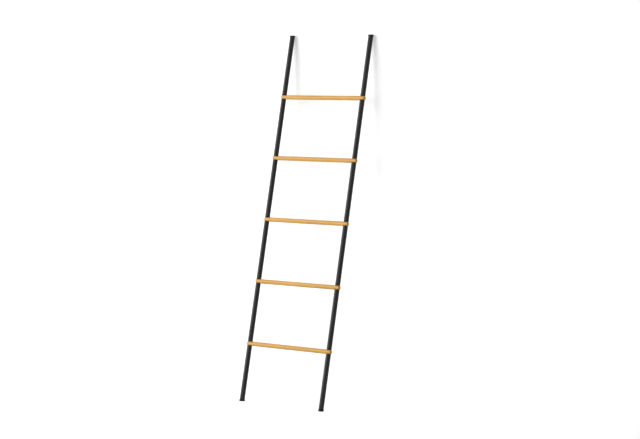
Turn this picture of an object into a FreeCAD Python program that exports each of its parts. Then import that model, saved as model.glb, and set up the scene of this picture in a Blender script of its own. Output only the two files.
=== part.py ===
import FreeCAD
import Part
import math
import os

# A blanket ladder that leans on a wall: two rails of black round tube and five round wooden rungs.
#
# The rails are neither bent nor welded. Each one is a stack of short tubes, and the flattened end
# of every rung is clamped between two of them: a double-ended stud runs upright through the wood
# and is screwed into a long nut welded into the tube below and another in the tube above. A
# flanged plug closes each end of a rail, as a rubber foot below and as a plastic cap above.
#
# Lengths are in millimetres, angles in degrees. X runs along the rungs, Z up the rails, and the
# wall that the ladder leans on is on the +Y side. The ladder stands upright here, on the flat
# soles of its feet, with the origin midway between them. In use it leans back on the wall. The
# top of each rail is cut so that it and its cap are level then, and the caps' backs meet the wall
# squarely. The rubber soles are square to the rails, and give a little when the ladder leans.

# ------------------------------------------------------------------------- driving dimensions
lean = 10.0                    # of the rails from the vertical, when the ladder is in use
rail_spacing = 418.0           # from one rail's axis to the other's
tube_diameter = 22.0
tube_wall = 1.2
bottom_tube_length = 243.5     # between the foot and the lowest rung
middle_tube_length = 264.0     # between two rungs
top_tube_length = 273.0        # between the highest rung and the cap, along the tube's axis

rung_count = 5
rung_diameter = 22.0
rung_overhang = 1.0            # how far a rung's end stands out past the tube
rung_end_chamfer = 2.5
seat_depth = 3.0               # from the round of the rung down to each flat that a tube bears on
seat_margin = 2.5              # the flat runs this far past the tube, on the inner side
seat_ramp = 3.0                # length over which it then rises to the round
stud_hole_clearance = 0.25     # around the stud

stud_diameter = 8.0
stud_engagement = 14.0         # length of thread inside each nut
nut_length = 18.0
nut_recess = 0.3               # below the tube's end, so that the tube bears on the wood
nut_clearance = 0.05           # from the nut's six corners to the tube
thread_clearance = 0.1         # around the stud, inside the nut

flange_lip = 1.5               # how far a plug's flange stands out past the tube
flange_chamfer = 1.2           # on the flange's outer rim
foot_flange_thickness = 6.5
cap_flange_thickness = 6.0
stem_length = 22.0             # of a plug, inside the tube
stem_wall = 1.8
stem_clearance = 0.05          # around the stem, inside the tube

# ------------------------------------------------------------------------- what follows from them
tube_radius = tube_diameter / 2
bore_radius = tube_radius - tube_wall
rung_radius = rung_diameter / 2
rung_length = rail_spacing + 2 * (tube_radius + rung_overhang)
seat_thickness = rung_diameter - 2 * seat_depth
seat_inner_x = rail_spacing / 2 - tube_radius - seat_margin
stud_radius = stud_diameter / 2
stud_length = seat_thickness + 2 * (nut_recess + stud_engagement)
flange_radius = tube_radius + flange_lip

tube_lengths = [bottom_tube_length] + [middle_tube_length] * (rung_count - 1) + [top_tube_length]
sides = {"left": -rail_spacing / 2, "right": rail_spacing / 2}

X_AXIS = FreeCAD.Vector(1, 0, 0)
Z_AXIS = FreeCAD.Vector(0, 0, 1)
ORIGIN = FreeCAD.Vector(0, 0, 0)


# ------------------------------------------------------------------------- shaping
def turned(outline):
    """A solid turned about Z from the (radius, height) corners of its half section."""
    corners = [FreeCAD.Vector(radius, 0, height) for radius, height in outline]
    section = Part.Face(Part.makePolygon(corners + corners[:1]))
    return section.revolve(ORIGIN, Z_AXIS, 360)


def bar(radius, length, centre, axis):
    """A round bar about its centre."""
    start = centre - axis * (length / 2)
    return Part.makeCylinder(radius, length, start, axis)


def moved(shape, x=0.0, z=0.0):
    """A copy of the shape, moved along the rungs or up the rails."""
    copy = shape.copy()
    copy.translate(FreeCAD.Vector(x, 0, z))
    return copy


def turned_over(shape, angle=180):
    """A copy of the shape, turned about the X axis: upside down, or by another angle."""
    copy = shape.copy()
    copy.rotate(ORIGIN, X_AXIS, angle)
    return copy


def cut_off_above(shape, height, slope=0.0):
    """What is left of the shape under a plane that crosses the Z axis at this height."""
    reach = 2 * tube_diameter
    block = Part.makeBox(2 * reach, 2 * reach, reach, FreeCAD.Vector(-reach, -reach, 0))
    return shape.cut(moved(turned_over(block, slope), z=height))


# ------------------------------------------------------------------------- the pieces
def make_tube(length):
    """One length of rail tube, from height 0 up."""
    return turned([(bore_radius, 0), (tube_radius, 0), (tube_radius, length), (bore_radius, length)])


def make_top_tube():
    """The highest length of a rail, from height 0 up. Its upper end slopes by the lean."""
    blank = make_tube(top_tube_length + tube_diameter)
    return cut_off_above(blank, top_tube_length, lean).Solids[0]


def make_seat_cutter():
    """What is cut away over the flat at the right-hand end of a rung, with its ramp."""
    past = 1.0                 # the cutter runs this far past the wood
    flat = seat_thickness / 2
    top = rung_radius + past
    end = rung_length / 2 + past
    ramp_end = seat_inner_x - seat_ramp * (top - flat) / seat_depth
    profile = [(seat_inner_x, flat), (end, flat), (end, top), (ramp_end, top)]
    corners = [FreeCAD.Vector(x, -top, z) for x, z in profile]
    side = Part.Face(Part.makePolygon(corners + corners[:1]))
    return side.extrude(FreeCAD.Vector(0, 2 * top, 0))


def make_rung():
    """A round bar along X, with two flats and an upright stud hole at each chamfered end."""
    rung = bar(rung_radius, rung_length, ORIGIN, X_AXIS)
    ends = [edge for edge in rung.Edges if isinstance(edge.Curve, Part.Circle)]
    rung = rung.makeChamfer(rung_end_chamfer, ends)
    cutter = make_seat_cutter()
    for x in sides.values():
        over_flat = cutter if x > 0 else cutter.mirror(ORIGIN, X_AXIS)
        under_flat = over_flat.mirror(ORIGIN, Z_AXIS)
        hole = bar(stud_radius + stud_hole_clearance, rung_diameter, X_AXIS * x, Z_AXIS)
        rung = rung.cut([over_flat, under_flat, hole])
    return rung.Solids[0]


def make_stud():
    """A double-ended stud, centred on height 0."""
    return bar(stud_radius, stud_length, ORIGIN, Z_AXIS)


def make_nut():
    """The long hexagonal nut in the upper end of a tube that ends at height 0."""
    corner_radius = bore_radius - nut_clearance
    top = -nut_recess
    corners = [FreeCAD.Vector(corner_radius * math.cos(turn), corner_radius * math.sin(turn), top)
               for turn in (math.radians(60 * corner) for corner in range(6))]
    blank = Part.Face(Part.makePolygon(corners + corners[:1])).extrude(Z_AXIS * -nut_length)
    middle = Z_AXIS * (top - nut_length / 2)
    return blank.cut(bar(stud_radius + thread_clearance, 2 * nut_length, middle, Z_AXIS)).Solids[0]


def make_plug(flange_thickness, slope=0.0):
    """A flanged plug that closes a tube ending at height 0: flange above, hollow stem below."""
    rim_radius = flange_radius - flange_chamfer
    flange = turned([(0, 0), (flange_radius, 0), (flange_radius, flange_thickness - flange_chamfer),
                     (rim_radius, flange_thickness), (0, flange_thickness)])
    stem_radius = bore_radius - stem_clearance
    core_radius = stem_radius - stem_wall
    stem = turned([(core_radius, -stem_length), (stem_radius, -stem_length),
                   (stem_radius, tube_diameter), (core_radius, tube_diameter)])
    return turned_over(flange, slope).fuse(cut_off_above(stem, 0, slope)).Solids[0]


# ------------------------------------------------------------------------- the ladder
def ladder_pieces():
    """Every piece by its name, each in its place."""
    pieces = {}
    tubes = {length: make_tube(length) for length in tube_lengths[:rung_count]}
    rung, stud, nut = make_rung(), make_stud(), make_nut()
    foot, cap = turned_over(make_plug(foot_flange_thickness)), make_plug(cap_flange_thickness, lean)
    top_tube = make_top_tube()

    for side, x in sides.items():
        pieces[f"foot_{side}"] = moved(foot, x, foot_flange_thickness)
        tube_foot = foot_flange_thickness
        for level, length in enumerate(tube_lengths, start=1):
            tube_top = tube_foot + length
            tube = tubes[length] if level <= rung_count else top_tube
            pieces[f"tube_{side}_{level}"] = moved(tube, x, tube_foot)
            tube_foot = tube_top + seat_thickness
            if level <= rung_count:
                joint = f"{side}_{level}"
                pieces[f"nut_{joint}_below"] = moved(nut, x, tube_top)
                pieces[f"stud_{joint}"] = moved(stud, x, tube_top + seat_thickness / 2)
                pieces[f"nut_{joint}_above"] = moved(turned_over(nut), x, tube_foot)
        pieces[f"top_cap_{side}"] = moved(cap, x, tube_top)

    seat_floor = foot_flange_thickness
    for level, length in enumerate(tube_lengths[:rung_count], start=1):
        seat_floor += length
        pieces[f"rung_{level}"] = moved(rung, z=seat_floor + seat_thickness / 2)
        seat_floor += seat_thickness
    return pieces


os.makedirs("parts", exist_ok=True)
for name, piece in ladder_pieces().items():
    piece.exportStep(f"parts/{name}.step")
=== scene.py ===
import math
from contextlib import contextmanager

import bmesh
import bpy
from mathutils import Matrix, Vector


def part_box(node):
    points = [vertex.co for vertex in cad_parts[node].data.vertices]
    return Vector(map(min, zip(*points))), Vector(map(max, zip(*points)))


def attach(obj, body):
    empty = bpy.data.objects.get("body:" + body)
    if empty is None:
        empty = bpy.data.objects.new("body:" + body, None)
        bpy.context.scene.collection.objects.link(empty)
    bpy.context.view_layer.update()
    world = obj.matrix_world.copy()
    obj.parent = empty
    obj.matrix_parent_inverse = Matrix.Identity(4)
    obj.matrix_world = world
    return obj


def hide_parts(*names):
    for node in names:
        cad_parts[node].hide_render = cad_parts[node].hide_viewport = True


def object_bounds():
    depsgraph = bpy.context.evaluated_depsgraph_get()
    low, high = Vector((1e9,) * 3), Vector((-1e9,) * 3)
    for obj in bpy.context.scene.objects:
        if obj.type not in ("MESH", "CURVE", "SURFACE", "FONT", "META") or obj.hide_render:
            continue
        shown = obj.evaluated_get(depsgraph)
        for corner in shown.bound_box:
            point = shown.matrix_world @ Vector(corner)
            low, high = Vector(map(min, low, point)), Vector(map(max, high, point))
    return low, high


# A blanket ladder: black tube rails with round wooden rungs clamped between their lengths.
#
# The frame holds the ladder upright, with X along the rungs, Z up the rails and the wall on the
# +Y side. In use it leans back on that wall, so here the room is tipped about it instead: the
# floor, the wall, the lamp and the camera are placed in room axes, whose Z is the true vertical.
# Lengths are in metres and angles in radians. Colours are linear.

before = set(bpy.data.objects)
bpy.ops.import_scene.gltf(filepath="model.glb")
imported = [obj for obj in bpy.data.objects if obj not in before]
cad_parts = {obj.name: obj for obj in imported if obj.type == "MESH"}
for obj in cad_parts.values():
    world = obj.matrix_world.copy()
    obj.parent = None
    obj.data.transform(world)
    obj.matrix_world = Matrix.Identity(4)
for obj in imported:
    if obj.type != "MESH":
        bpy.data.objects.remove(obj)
cad_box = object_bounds()

MM = 0.001
X, Y, Z = 0, 1, 2
SIDES = ("left", "right")
RUNG_LEVELS = range(1, 6)
TUBE_LEVELS = range(1, 7)

LEAN = math.radians(10.0)          # of the rails from the true vertical
RUNG_SLIMMED = 1.0 * MM            # taken off the frame's rungs, all round


# ------------------------------------------------------------------ sizes that the frame gives
def extent(node, axis):
    """How far a node of the frame reaches along an axis."""
    low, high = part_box(node)
    return high[axis] - low[axis]


def middle(node):
    """The middle of a node's box."""
    low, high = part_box(node)
    return (low + high) / 2


rung_radius = extent("rung_1", Y) / 2 - RUNG_SLIMMED
rung_half_length = extent("rung_1", X) / 2
tube_radius = extent("tube_left_1", X) / 2
rail_x = {side: middle(f"tube_{side}_1").x for side in SIDES}
rung_z = {level: middle(f"rung_{level}").z for level in RUNG_LEVELS}
rung_pitch = rung_z[2] - rung_z[1]
first_tube_foot, first_tube_top = (corner.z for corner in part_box("tube_left_1"))
last_tube_foot, last_tube_peak = (corner.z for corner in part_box("tube_left_6"))
tube_slope_rise = tube_radius * math.tan(LEAN)     # of a level cut through a rail, axis to edge
last_tube_top = last_tube_peak - tube_slope_rise   # on its axis
seat_half_thickness = rung_z[1] - first_tube_top
flange_radius = extent("foot_left", X) / 2
foot_flange_thickness = first_tube_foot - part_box("foot_left")[0].z
stem_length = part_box("foot_left")[1].z - first_tube_foot

# ------------------------------------------------------------------ sizes of the finer shapes
ROUND_SIDES = 96                   # flats that stand for a full turn
DRILL_SIDES = 48
ROUND_STEPS = 7                    # flats that stand for a large round
SMALL_ROUND_STEPS = 2
TUBE_EDGE_STEPS = 3
CREASE = math.radians(28)          # tubes and wood are rounded at edges that turn more than this
PLUG_CREASE = math.radians(35)     # plugs stay sharp at edges that turn more than this

TUBE_WALL = 1.2 * MM
TUBE_EDGE_ROUND = 0.35 * MM

RUNG_END_ROUND = 3.5 * MM
SEAT_MARGIN = 2.5 * MM             # the flat runs this far past the tube, on the inner side
SEAT_RAMP = 3.0 * MM
SEAT_RAMP_STEPS = 6
WOOD_EDGE_ROUND = 0.35 * MM
STUD_RADIUS = 4.0 * MM
STUD_HOLE_RADIUS = 4.25 * MM

CAP_FLANGE_THICKNESS = 6.0 * MM
FLANGE_RIM_ROUND = 1.5 * MM
FLANGE_FACE_RADIUS = flange_radius - FLANGE_RIM_ROUND
FLANGE_SHOULDER_ROUND = 0.3 * MM
STEM_CLEARANCE = 0.05 * MM         # around the stem, inside the tube
STEM_WALL = 1.8 * MM
STEM_RADIUS = tube_radius - TUBE_WALL - STEM_CLEARANCE
STEM_CORE_RADIUS = STEM_RADIUS - STEM_WALL
STEM_NECK_LENGTH = 3.0 * MM        # plain part of the stem, next to the flange
BARB_COUNT = 5
BARB_DEPTH = 0.5 * MM
BARB_LEDGE = 0.01 * MM             # rise of the step from a barb down to its root
BARB_ROOT_SHARE = 0.2              # of the barbs' pitch
BARB_RAMP_SHARE = 0.2              # of the barbs' pitch, from the root up to the next barb
FOOT_GIVES_AT = 4.1 * MM           # height in the foot's flange that it tips about
CAP_CROWN = 0.5 * MM
CAP_CROWN_RINGS = 5
GROOVE_RADII = (9.0 * MM, 5.8 * MM)    # outer edges of the grooves in the sole
GROOVE_WIDTH = 0.9 * MM
GROOVE_DEPTH = 0.4 * MM
GROOVE_TAPER = 0.15 * MM

TINY = 0.001 * MM                  # places nearer to each other than this are one place
ALIGNED = 0.9999                   # directions whose cosine is above this are one direction


# ------------------------------------------------------------------ modelling by hand
def add(name, primitive, **options):
    """A new primitive, the only thing selected, with its place moved into its mesh."""
    bpy.ops.object.select_all(action="DESELECT")
    primitive(**options)
    piece = bpy.context.object
    piece.name = piece.data.name = name
    bpy.ops.object.transform_apply(location=True, rotation=True, scale=True)
    return piece


@contextmanager
def editing(piece):
    """Edit mode on one piece."""
    bpy.context.view_layer.objects.active = piece
    bpy.ops.object.mode_set(mode="EDIT")
    yield
    bpy.ops.object.mode_set(mode="OBJECT")


def pick(piece, kind, rule):
    """Selects only the vertices, edges or faces that the rule holds for."""
    bpy.ops.mesh.select_mode(type=kind)
    bpy.ops.mesh.select_all(action="DESELECT")
    mesh = bmesh.from_edit_mesh(piece.data)
    for item in {"VERT": mesh.verts, "EDGE": mesh.edges, "FACE": mesh.faces}[kind]:
        if rule(item):
            item.select_set(True)
    mesh.select_flush_mode()
    bmesh.update_edit_mesh(piece.data)


def lies_at(axis, place):
    """A rule: both ends of the edge are at this place along the axis."""
    return lambda edge: all(abs(corner.co[axis] - place) < TINY for corner in edge.verts)


def on_underside(face):
    """A rule: the face looks straight down."""
    return face.normal.z < -ALIGNED


def on_top(face):
    """A rule: the face looks straight up, and is above height 0."""
    return face.normal.z > ALIGNED and face.calc_center_median().z > 0


def cut_loop(place):
    """Cuts one more loop round everything, square to X."""
    bpy.ops.mesh.select_all(action="SELECT")
    bpy.ops.mesh.bisect(plane_co=(place, 0, 0), plane_no=(1, 0, 0))


def press_flat(height):
    """Moves what is selected onto a level plane."""
    bpy.ops.transform.resize(value=(1, 1, 0), center_override=(0, 0, height))


def round_off(radius, steps):
    """Rounds the selected edges."""
    bpy.ops.mesh.bevel(offset=radius, segments=steps, profile=0.5, affect="EDGES")


def draw_out(rise, radius_now, radius_next):
    """Extrudes the selected round face along Z and gives it another radius."""
    bpy.ops.mesh.extrude_region_move(TRANSFORM_OT_translate={"value": (0, 0, rise)})
    share = radius_next / radius_now
    bpy.ops.transform.resize(value=(share, share, 1), center_override=(0, 0, 0))


def step_in(width, rise=0.0):
    """Insets the selected face and lifts what is left of it along Z."""
    bpy.ops.mesh.inset(thickness=width)
    bpy.ops.transform.translate(value=(0, 0, rise))


def apply_modifier(piece, kind, **settings):
    """Adds a modifier and applies it at once."""
    modifier = piece.modifiers.new(kind.lower(), kind)
    for setting, value in settings.items():
        setattr(modifier, setting, value)
    bpy.ops.object.select_all(action="DESELECT")
    piece.select_set(True)
    bpy.context.view_layer.objects.active = piece
    bpy.ops.object.modifier_apply(modifier=modifier.name)


def break_edges(piece, width, steps):
    """Rounds every sharp edge a little, and shades the rest smooth."""
    apply_modifier(piece, "BEVEL", width=width, segments=steps, limit_method="ANGLE",
                   angle_limit=CREASE)
    bpy.ops.object.shade_smooth_by_angle(angle=CREASE)


def copy_of(model, name, place, upside_down=False):
    """A copy with its own mesh, moved there from the origin."""
    copy = model.copy()
    copy.data = model.data.copy()
    copy.name = copy.data.name = name
    if upside_down:
        copy.data.transform(Matrix.Rotation(math.pi, 4, "X"))
    copy.data.transform(Matrix.Translation(place))
    bpy.context.scene.collection.objects.link(copy)
    return copy


def stand_in(piece, node, finish):
    """Puts a finished piece in the place of a node of the frame."""
    piece.data.materials.clear()
    piece.data.materials.append(finish)
    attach(piece, "root")
    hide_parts(node)


# ------------------------------------------------------------------ the shapes
def press_seats(rung):
    """Presses two flats at each end of a bar along X, each with a ramp up to the round."""
    inner_x = rail_x["right"] - tube_radius - SEAT_MARGIN
    ramp = [(inner_x - SEAT_RAMP * step / SEAT_RAMP_STEPS,
             seat_half_thickness + (rung_radius - seat_half_thickness) * step / SEAT_RAMP_STEPS)
            for step in range(SEAT_RAMP_STEPS + 1)]
    with editing(rung):
        for way in (-1, 1):
            for place, _ in ramp:
                cut_loop(way * place)
        for way in (-1, 1):
            for up in (-1, 1):
                for place, height in ramp:
                    pick(rung, "VERT", lambda corner: abs(corner.co.x * way - place) < TINY
                         and corner.co.z * up > height)
                    press_flat(up * height)
                pick(rung, "VERT", lambda corner: corner.co.x * way > inner_x
                     and corner.co.z * up > seat_half_thickness)
                press_flat(up * seat_half_thickness)


def drill_stud_holes(rung):
    """Drills an upright hole on each rail's axis."""
    for side in SIDES:
        drill = add("drill", bpy.ops.mesh.primitive_cylinder_add, vertices=DRILL_SIDES,
                    radius=STUD_HOLE_RADIUS, depth=4 * rung_radius, location=(rail_x[side], 0, 0))
        apply_modifier(rung, "BOOLEAN", operation="DIFFERENCE", object=drill, solver="EXACT")
        bpy.data.objects.remove(drill)


def model_rung():
    """A bar along X, with round ends, flats for the tubes to bear on, and stud holes."""
    rung = add("rung_model", bpy.ops.mesh.primitive_cylinder_add, vertices=ROUND_SIDES,
               radius=rung_radius, depth=2 * rung_half_length, rotation=(0, math.pi / 2, 0))
    with editing(rung):
        for end in (-rung_half_length, rung_half_length):
            pick(rung, "EDGE", lies_at(X, end))
            round_off(RUNG_END_ROUND, ROUND_STEPS)
    press_seats(rung)
    drill_stud_holes(rung)
    break_edges(rung, WOOD_EDGE_ROUND, SMALL_ROUND_STEPS)
    return rung


def model_tube(length, slope=0.0):
    """An open tube standing on the origin, with softened edges. Its upper end may slope."""
    whole = length + 2 * tube_radius if slope else length
    tube = add("tube_model", bpy.ops.mesh.primitive_cylinder_add, vertices=ROUND_SIDES,
               radius=tube_radius, depth=whole, location=(0, 0, whole / 2),
               end_fill_type="NOTHING")
    if slope:
        with editing(tube):
            bpy.ops.mesh.select_all(action="SELECT")
            bpy.ops.mesh.bisect(plane_co=(0, 0, length), clear_outer=True,
                                plane_no=(0, -math.sin(slope), math.cos(slope)))
    apply_modifier(tube, "SOLIDIFY", thickness=TUBE_WALL, offset=-1)
    break_edges(tube, TUBE_EDGE_ROUND, TUBE_EDGE_STEPS)
    return tube


def start_plug(flange_thickness):
    """A flanged plug, its flange above height 0 and its hollow barbed stem below."""
    plug = add("plug_model", bpy.ops.mesh.primitive_cylinder_add, vertices=ROUND_SIDES,
               radius=flange_radius, depth=flange_thickness, location=(0, 0, flange_thickness / 2))
    pitch = (stem_length - STEM_NECK_LENGTH) / BARB_COUNT
    root, ramp = BARB_ROOT_SHARE * pitch, BARB_RAMP_SHARE * pitch
    root_radius = STEM_RADIUS - BARB_DEPTH
    with editing(plug):
        pick(plug, "EDGE", lies_at(Z, flange_thickness))
        round_off(FLANGE_RIM_ROUND, ROUND_STEPS)
        pick(plug, "EDGE", lies_at(Z, 0))
        round_off(FLANGE_SHOULDER_ROUND, SMALL_ROUND_STEPS)
        pick(plug, "FACE", on_underside)
        step_in(flange_radius - FLANGE_SHOULDER_ROUND - STEM_RADIUS)
        draw_out(-STEM_NECK_LENGTH, STEM_RADIUS, STEM_RADIUS)
        for _ in range(BARB_COUNT):
            draw_out(-BARB_LEDGE, STEM_RADIUS, root_radius)
            draw_out(-root, root_radius, root_radius)
            draw_out(-ramp, root_radius, STEM_RADIUS)
            draw_out(-(pitch - BARB_LEDGE - root - ramp), STEM_RADIUS, STEM_RADIUS)
        step_in(STEM_WALL)
        draw_out(stem_length, STEM_CORE_RADIUS, STEM_CORE_RADIUS)
    return plug


def finish_plug(plug, turn_height=0.0):
    """Turns the flange on its stem by the lean, so that it is level in use, and smooths it all."""
    with editing(plug):
        pick(plug, "VERT", lambda corner: corner.co.z > -TINY)
        bpy.ops.transform.rotate(value=-LEAN, orient_axis="X", center_override=(0, 0, turn_height))
    bpy.ops.object.shade_smooth_by_angle(angle=PLUG_CREASE)
    return plug


def model_cap():
    """The plug that closes the top of a rail, with a low crown on its flange."""
    cap = start_plug(CAP_FLANGE_THICKNESS - CAP_CROWN)
    crown_radius = (FLANGE_FACE_RADIUS ** 2 + CAP_CROWN ** 2) / (2 * CAP_CROWN)

    def crown_height(radius):
        return math.sqrt(crown_radius ** 2 - radius ** 2) - (crown_radius - CAP_CROWN)

    radii = [FLANGE_FACE_RADIUS * (1 - ring / CAP_CROWN_RINGS) for ring in range(CAP_CROWN_RINGS)]
    with editing(cap):
        pick(cap, "FACE", on_top)
        for outer, inner in zip(radii, radii[1:]):
            step_in(outer - inner, rise=crown_height(inner) - crown_height(outer))
    return finish_plug(cap)


def model_foot():
    """The plug under a rail, with two grooves in its sole. It is modelled sole up."""
    foot = start_plug(foot_flange_thickness)
    with editing(foot):
        pick(foot, "FACE", on_top)
        radius = FLANGE_FACE_RADIUS
        for groove_radius in GROOVE_RADII:
            step_in(radius - groove_radius)
            step_in(GROOVE_TAPER, rise=-GROOVE_DEPTH)
            step_in(GROOVE_WIDTH - 2 * GROOVE_TAPER)
            step_in(GROOVE_TAPER, rise=GROOVE_DEPTH)
            radius = groove_radius - GROOVE_WIDTH
    return finish_plug(foot, FOOT_GIVES_AT)


# ------------------------------------------------------------------ how finishes are wired
class Wire:
    """A value among the nodes. Arithmetic on it adds Math nodes."""

    def __init__(self, wiring, socket):
        self.wiring = wiring
        self.socket = socket

    def other(self, output):
        """Another output of the same node."""
        return Wire(self.wiring, self.socket.node.outputs[output])

    def __add__(self, value):
        return self.wiring.calculate("ADD", self, value)

    def __sub__(self, value):
        return self.wiring.calculate("SUBTRACT", self, value)

    def __rsub__(self, value):
        return self.wiring.calculate("SUBTRACT", value, self)

    def __mul__(self, value):
        return self.wiring.calculate("MULTIPLY", self, value)

    def __truediv__(self, value):
        return self.wiring.calculate("DIVIDE", self, value)

    def __pow__(self, value):
        return self.wiring.calculate("POWER", self, value)

    def __abs__(self):
        return self.wiring.calculate("ABSOLUTE", self)

    __radd__ = __add__
    __rmul__ = __mul__


class Wiring:
    """The nodes of a material or a world, put together from wires."""

    def __init__(self, owner):
        owner.use_nodes = True
        self.tree = owner.node_tree
        self.tree.nodes.clear()

    def node(self, kind, values=None, output=0, **settings):
        """Adds a node: its settings first, then a number, colour or wire for each socket."""
        made = self.tree.nodes.new("ShaderNode" + kind)
        for setting, value in settings.items():
            setattr(made, setting, value)
        for socket, value in (values or {}).items():
            if isinstance(value, Wire):
                self.tree.links.new(value.socket, made.inputs[socket])
            else:
                made.inputs[socket].default_value = value
        return Wire(self, made.outputs[output]) if made.outputs else None

    def calculate(self, operation, *values):
        """What a Math node makes of the values."""
        return self.node("Math", dict(enumerate(values)), operation=operation)

    def split(self, vector):
        """The X, Y and Z of a vector."""
        parts = self.node("SeparateXYZ", {0: vector})
        return [parts.other(axis) for axis in "XYZ"]

    def seen_directly(self):
        """Above 0 where the camera, a reflection or a clear piece looks, and 0 for what lights."""
        path = self.node("LightPath")
        return sum(path.other(f"Is {kind} Ray") for kind in ("Camera", "Glossy", "Transmission"))


class Finish(Wiring):
    """A material for a surface."""

    def __init__(self, name):
        self.material = bpy.data.materials.new(name)
        super().__init__(self.material)

    def place(self, centre=(0, 0, 0), turn=0.0):
        """Object coordinates about a centre, turned about X."""
        seen = self.node("TexCoord").other("Object")
        moved = Matrix.Rotation(turn, 3, "X") @ -Vector(centre)
        return self.node("Mapping", {"Vector": seen, "Location": moved, "Rotation": (turn, 0, 0)})

    def noise(self, place, scale, detail=2.0, roughness=0.5):
        """Noise from 0 to 1. A scale of three numbers stretches it, in waves a metre."""
        stretched = self.node("Mapping", {"Vector": place, "Scale": scale})
        return self.node("TexNoise", {"Vector": stretched, "Scale": 1.0, "Detail": detail,
                                      "Roughness": roughness})

    def ease(self, value, low, high):
        """0 where the value is at low, 1 where it is at high, smoothly between."""
        return self.node("MapRange", {"Value": value, "From Min": low, "From Max": high},
                         interpolation_type="SMOOTHSTEP")

    def blend(self, share, colour, other):
        """A colour that turns into the other as the share goes from 0 to 1."""
        # Sockets 6 and 7 and output 2 are the ones for colours.
        return self.node("Mix", {0: share, 6: colour, 7: other}, output=2, data_type="RGBA")

    def bump(self, height, depth, strength=1.0):
        """A normal for a height from 0 to 1 that stands for this depth in metres."""
        return self.node("Bump", {"Height": height, "Distance": depth, "Strength": strength})

    def surface(self, **values):
        """Ends the material in one Principled shader."""
        named = {socket.replace("_", " "): value for socket, value in values.items()}
        return self.finish_with(self.node("BsdfPrincipled", named))

    def finish_with(self, shader):
        """Ends the material in this shader."""
        self.node("OutputMaterial", {"Surface": shader})
        return self.material


# ------------------------------------------------------------------ the finishes
COAT_DARK = (0.0065, 0.0066, 0.0069, 1)
COAT_PALE = (0.0115, 0.0117, 0.0121, 1)
COAT_RUBBED = (0.06, 0.06, 0.062, 1)
RUB_WIDTH = 1.5 * MM               # of the rubbed band where a tube meets a rung

HONEY_PALE = (0.73, 0.405, 0.088, 1)
HONEY_DEEP = (0.63, 0.325, 0.062, 1)
LATE_WOOD = (0.48, 0.212, 0.040, 1)
WOOD_FIBRE = (0.54, 0.258, 0.052, 1)
WOOD_PORE = (0.32, 0.14, 0.035, 1)
END_GRAIN = (0.66, 0.36, 0.10, 1)
RING_WIDTH = 2.3 * MM
HEART_DISTANCE = 38 * MM           # from the middle of the growth rings to a rung's wood
HEART_STEP = 4 * MM                # this much further for each level
BOARD_STEP = 0.37                  # along the grain, for each level
BOARD_TURN = 1.3                   # about the grain, for each level

MOULD_SCUFFED = (0.075, 0.073, 0.07, 1)
RIM_WIDTH = 1.4 * MM               # of the dusty rim

ZINC_BRIGHT = (0.66, 0.67, 0.68, 1)
ZINC_STAINED = (0.50, 0.51, 0.50, 1)
THREAD_PITCH = 1.25 * MM
THREAD_DEPTH = 0.6 * MM
THREAD_FADE = 0.05 * MM            # width over which the thread ends, just outside the stud


def from_rung(finish, height):
    """How far, along a rail, a place is from the nearest rung's axis."""
    nearest = finish.calculate("ROUND", (height - rung_z[1]) / rung_pitch)
    nearest = finish.calculate("MINIMUM", nearest, RUNG_LEVELS[-1] - RUNG_LEVELS[0])
    return abs(height - (nearest * rung_pitch + rung_z[1]))


def powder_coat():
    """Satin black powder coat on the rails."""
    coat = Finish("satin_black_powder_coat")
    place = coat.place()
    height = coat.split(place)[Z]
    rub = 1 - coat.ease(from_rung(coat, height), seat_half_thickness,
                        seat_half_thickness + RUB_WIDTH)
    peel = coat.noise(place, (750, 750, 750))
    grain = coat.noise(place, (4200, 4200, 4200), detail=1.0)
    cloud = coat.noise(place, (22, 22, 9), detail=3.0)
    handled = coat.ease(coat.noise(place, (60, 60, 14), detail=4.0, roughness=0.65), 0.5, 0.75)
    colour = coat.blend(cloud, COAT_DARK, COAT_PALE)
    colour = coat.blend(rub * peel * 0.5, colour, COAT_RUBBED)
    return coat.surface(
        Base_Color=colour,
        Roughness=0.40 + 0.10 * peel - 0.07 * handled - 0.06 * rub,
        Specular_IOR_Level=0.25,
        Normal=coat.bump(peel * 0.8 + grain * 0.2, 0.05 * MM))


def honey_wood(level):
    """Honey-stained wood under satin varnish. Each rung is cut from another part of the board."""
    wood = Finish(f"honey_wood_{level}")
    place = wood.place((BOARD_STEP * level, 0, rung_z[level]), BOARD_TURN * level)
    _, across, deep = wood.split(place)

    heart = HEART_DISTANCE + HEART_STEP * level
    sway = wood.noise(place, (5, 26, 26))
    out_from_heart = ((across - heart) ** 2 + deep ** 2) ** 0.5
    rings = out_from_heart / RING_WIDTH + 2.6 * sway
    wave = wood.calculate("SINE", rings * (2 * math.pi)) * 0.5 + 0.5
    late_wood = wave ** 2.5

    tone = wood.ease(wood.noise(place, (7, 110, 110), detail=3.0, roughness=0.6), 0.3, 0.7)
    fibre = wood.noise(place, (38, 1500, 1500), detail=3.0, roughness=0.6)
    pores = wood.ease(wood.noise(place, (110, 2600, 2600), detail=1.0), 0.66, 0.74)
    facing = wood.split(wood.node("TexCoord").other("Normal"))[X]
    end_grain = wood.ease(abs(facing), 0.8, 0.97)

    colour = wood.blend(tone, HONEY_PALE, HONEY_DEEP)
    colour = wood.blend(late_wood * 0.42, colour, LATE_WOOD)
    colour = wood.blend(wood.ease(fibre, 0.35, 0.8) * 0.22, colour, WOOD_FIBRE)
    colour = wood.blend(pores * 0.35, colour, WOOD_PORE)
    colour = wood.blend(end_grain * 0.45, colour, END_GRAIN)
    height = 0.55 * fibre - 0.45 * pores + 0.12 * late_wood
    return wood.surface(
        Base_Color=colour,
        Roughness=0.44 + 0.12 * fibre + 0.08 * pores - 0.05 * tone,
        Specular_IOR_Level=0.3,
        Coat_Weight=0.15 * (1 - end_grain * 0.7),
        Coat_Roughness=0.28,
        Normal=wood.bump(height, 0.04 * MM))


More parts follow.
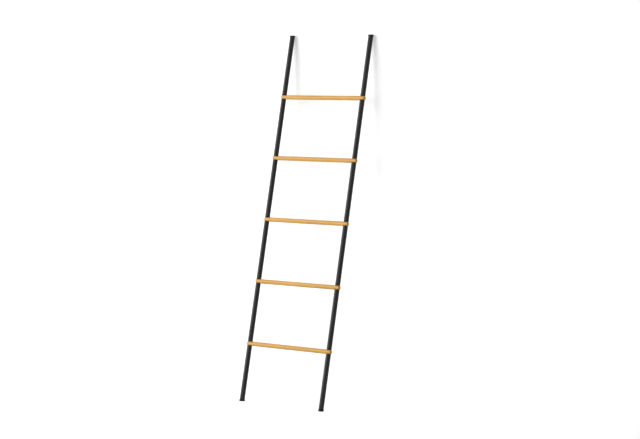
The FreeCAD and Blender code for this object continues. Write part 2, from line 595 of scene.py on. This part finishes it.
def moulded_black(name, shade, roughness, grain_depth):
    """Moulded black rubber or plastic with a fine spark grain and a dusty touch on its rims."""
    mould = Finish(name)
    place = mould.place()
    grain = mould.noise(place, (2600, 2600, 2600))
    blotch = mould.noise(place, (140, 140, 140), detail=3.0, roughness=0.6)
    height = mould.split(place)[Z]
    half_height = cad_box[1].z / 2
    from_end = abs(abs(height - half_height) - half_height)
    rim = 1 - mould.ease(from_end, 0.0, RIM_WIDTH)
    scuff = mould.ease(mould.noise(place, (420, 420, 420), detail=4.0, roughness=0.7), 0.5, 0.72)
    colour = mould.blend(blotch, (shade, shade, shade * 1.05, 1),
                         (shade * 1.7, shade * 1.7, shade * 1.75, 1))
    colour = mould.blend(rim * scuff * 0.5, colour, MOULD_SCUFFED)
    return mould.surface(
        Base_Color=colour,
        Roughness=roughness + 0.12 * grain + 0.06 * rim,
        Specular_IOR_Level=0.25,
        Normal=mould.bump(grain, grain_depth))


def zinc_plate(side):
    """Bright zinc on the studs and nuts of one side, with the thread's turns."""
    zinc = Finish(f"zinc_plate_{side}")
    place = zinc.place((rail_x[side], 0, 0))
    across, deep, height = zinc.split(place)
    angle = zinc.calculate("ARCTAN2", deep, across)
    turns = height / THREAD_PITCH + angle / (2 * math.pi)
    thread = abs(zinc.calculate("FRACT", turns) - 0.5) * 2
    radius = (across ** 2 + deep ** 2) ** 0.5
    on_stud = 1 - zinc.ease(radius, STUD_RADIUS, STUD_RADIUS + THREAD_FADE)
    crystals = zinc.noise(place, (900, 900, 300), detail=3.0, roughness=0.6)
    stain = zinc.ease(zinc.noise(place, (90, 90, 40), detail=3.0), 0.45, 0.8)
    return zinc.surface(
        Base_Color=zinc.blend(stain, ZINC_BRIGHT, ZINC_STAINED),
        Metallic=1.0,
        Roughness=0.28 + 0.14 * crystals + 0.1 * stain,
        Normal=zinc.bump(thread * on_stud * 0.9 + crystals * 0.1, THREAD_DEPTH, strength=0.6))


# ------------------------------------------------------------------ the ladder
def dress_rungs():
    """Finer rungs, each in wood of its own."""
    rung = model_rung()
    for level in RUNG_LEVELS:
        piece = copy_of(rung, f"turned_rung_{level}", (0, 0, rung_z[level]))
        stand_in(piece, f"rung_{level}", honey_wood(level))
    bpy.data.objects.remove(rung)


def dress_rails():
    """Finer tubes, feet and caps. The highest tube of a rail ends level with the floor, and the
    rubber of a foot takes in the square end of the lowest one."""
    coat = powder_coat()
    rubber = moulded_black("foot_rubber_black", shade=0.005, roughness=0.75, grain_depth=0.02 * MM)
    plastic = moulded_black("cap_plastic_black", shade=0.010, roughness=0.48, grain_depth=0.03 * MM)

    foot, cap = model_foot(), model_cap()
    tubes = {level: model_tube(extent(f"tube_left_{level}", Z)) for level in TUBE_LEVELS[:-1]}
    tubes[TUBE_LEVELS[-1]] = model_tube(last_tube_top - last_tube_foot, LEAN)
    for side in SIDES:
        x = rail_x[side]
        for level, tube in tubes.items():
            node = f"tube_{side}_{level}"
            piece = copy_of(tube, f"rail_{node}", (x, 0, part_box(node)[0].z))
            stand_in(piece, node, coat)
        foot_place = (x, 0, first_tube_foot + tube_slope_rise)
        piece = copy_of(foot, f"foot_plug_{side}", foot_place, upside_down=True)
        stand_in(piece, f"foot_{side}", rubber)
        piece = copy_of(cap, f"cap_plug_{side}", (x, 0, last_tube_top))
        stand_in(piece, f"top_cap_{side}", plastic)
    for model in (foot, cap, *tubes.values()):
        bpy.data.objects.remove(model)


def plate_studs_and_nuts():
    """Zinc on the frame's own studs and nuts, which no finer piece replaces."""
    for side in SIDES:
        zinc = zinc_plate(side)
        for name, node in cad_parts.items():
            if name.startswith((f"stud_{side}", f"nut_{side}")):
                node.data.materials.clear()
                node.data.materials.append(zinc)


# ------------------------------------------------------------------ the room
ROOM = Matrix.Rotation(LEAN, 4, "X")       # takes room axes to the ladder's

STAGE_SIZE = 14.0
STAGE_COLOUR = (0.7, 0.7, 0.7, 1)
WALL_LIFT = 0.44                   # added where the camera or a reflection sees the wall
FLOOR_LIFT = 0.62

KEY_TURN = math.radians(45)        # to the left of square-on
KEY_RISE = math.radians(8)
KEY_DISTANCE = 8.0
KEY_SIZE = 7.3
KEY_POWER = 1000.0                 # watts

WHITE = (1, 1, 1, 1)
AMBIENT = 0.25                     # of the even light, where 1 lights white paint to white

CAMERA_TURN = math.radians(33.354)     # to the right of square-on
CAMERA_DIP = math.radians(1.657)
CAMERA_ROLL = math.radians(2.172)
CAMERA_DISTANCE = 7.484
CAMERA_REACH = 60.0
CAMERA_AIM = Vector((0.0725, 0, 0.8310))
CAMERA_LENS = 95.90                # millimetres
CAMERA_FRAME_WIDTH = 36.0          # millimetres


def in_room(name, axis):
    """Where the corners of a piece lie along a room axis."""
    back = ROOM.inverted()
    return [(back @ corner.co)[axis] for corner in bpy.data.objects[name].data.vertices]


def stage_paint(name, lift):
    """Pale paint that shows white, keeps shadows and can't be seen from behind."""
    paint = Finish(name)
    matte = paint.node("BsdfDiffuse", {"Color": STAGE_COLOUR})
    glow = paint.node("Emission", {"Strength": lift})
    bright = paint.node("AddShader", {0: matte, 1: glow})
    front = paint.node("MixShader", {0: paint.seen_directly(), 1: matte, 2: bright})
    behind = paint.node("NewGeometry").other("Backfacing")
    clear = paint.node("BsdfTransparent")
    return paint.finish_with(paint.node("MixShader", {0: behind, 1: front, 2: clear}))


def build_stage():
    """The floor that the soles stand on and the wall that the caps touch."""
    floor_z = min(in_room("foot_plug_left", Z))
    wall_y = max(in_room("cap_plug_left", Y))
    floor = add("floor", bpy.ops.mesh.primitive_plane_add, size=STAGE_SIZE,
                location=(0, wall_y - STAGE_SIZE / 2, floor_z))
    wall = add("wall", bpy.ops.mesh.primitive_plane_add, size=STAGE_SIZE,
               location=(0, wall_y, floor_z + STAGE_SIZE / 2), rotation=(math.pi / 2, 0, 0))
    for plane, lift in ((floor, FLOOR_LIFT), (wall, WALL_LIFT)):
        plane.data.transform(ROOM)
        plane.data.materials.append(stage_paint(f"{plane.name}_paint", lift))


def hang_key():
    """A big soft square lamp, aimed at the middle of the ladder."""
    toward = Vector((-math.sin(KEY_TURN) * math.cos(KEY_RISE),
                     -math.cos(KEY_TURN) * math.cos(KEY_RISE), math.sin(KEY_RISE)))
    centre = Vector((0, 0, (cad_box[0].z + cad_box[1].z) / 2))
    aimed = toward.to_track_quat("Z", "Y").to_matrix().to_4x4()
    lamp = bpy.data.objects.new("key", bpy.data.lights.new("key", "AREA"))
    lamp.data.size = KEY_SIZE
    lamp.data.energy = KEY_POWER
    lamp.matrix_world = ROOM @ Matrix.Translation(centre + toward * KEY_DISTANCE) @ aimed
    bpy.context.scene.collection.objects.link(lamp)


def light_evenly():
    """Even light all round, and a white backdrop."""
    world = bpy.data.worlds.new("studio")
    bpy.context.scene.world = world
    studio = Wiring(world)
    even = studio.node("Background", {"Color": WHITE, "Strength": AMBIENT})
    backdrop = studio.node("Background", {"Color": WHITE, "Strength": 1.0})
    both = studio.node("MixShader", {0: studio.seen_directly(), 1: even, 2: backdrop})
    studio.node("OutputWorld", {"Surface": both})


def place_camera():
    """A long lens, well to the right of square-on and a little above."""
    camera = bpy.data.objects.new("camera", bpy.data.cameras.new("camera"))
    camera.data.lens = CAMERA_LENS
    camera.data.sensor_width = CAMERA_FRAME_WIDTH
    camera.data.clip_end = CAMERA_REACH
    turned = (ROOM @ Matrix.Rotation(CAMERA_TURN, 4, "Z")
              @ Matrix.Rotation(math.pi / 2 - CAMERA_DIP, 4, "X")
              @ Matrix.Rotation(CAMERA_ROLL, 4, "Z"))
    back = turned.to_3x3() @ Vector((0, 0, 1))
    camera.matrix_world = Matrix.Translation(CAMERA_AIM + back * CAMERA_DISTANCE) @ turned
    bpy.context.scene.collection.objects.link(camera)
    bpy.context.scene.camera = camera


dress_rungs()
dress_rails()
plate_studs_and_nuts()
build_stage()
hang_key()
light_evenly()
place_camera()
bpy.context.scene.view_settings.view_transform = "Standard"
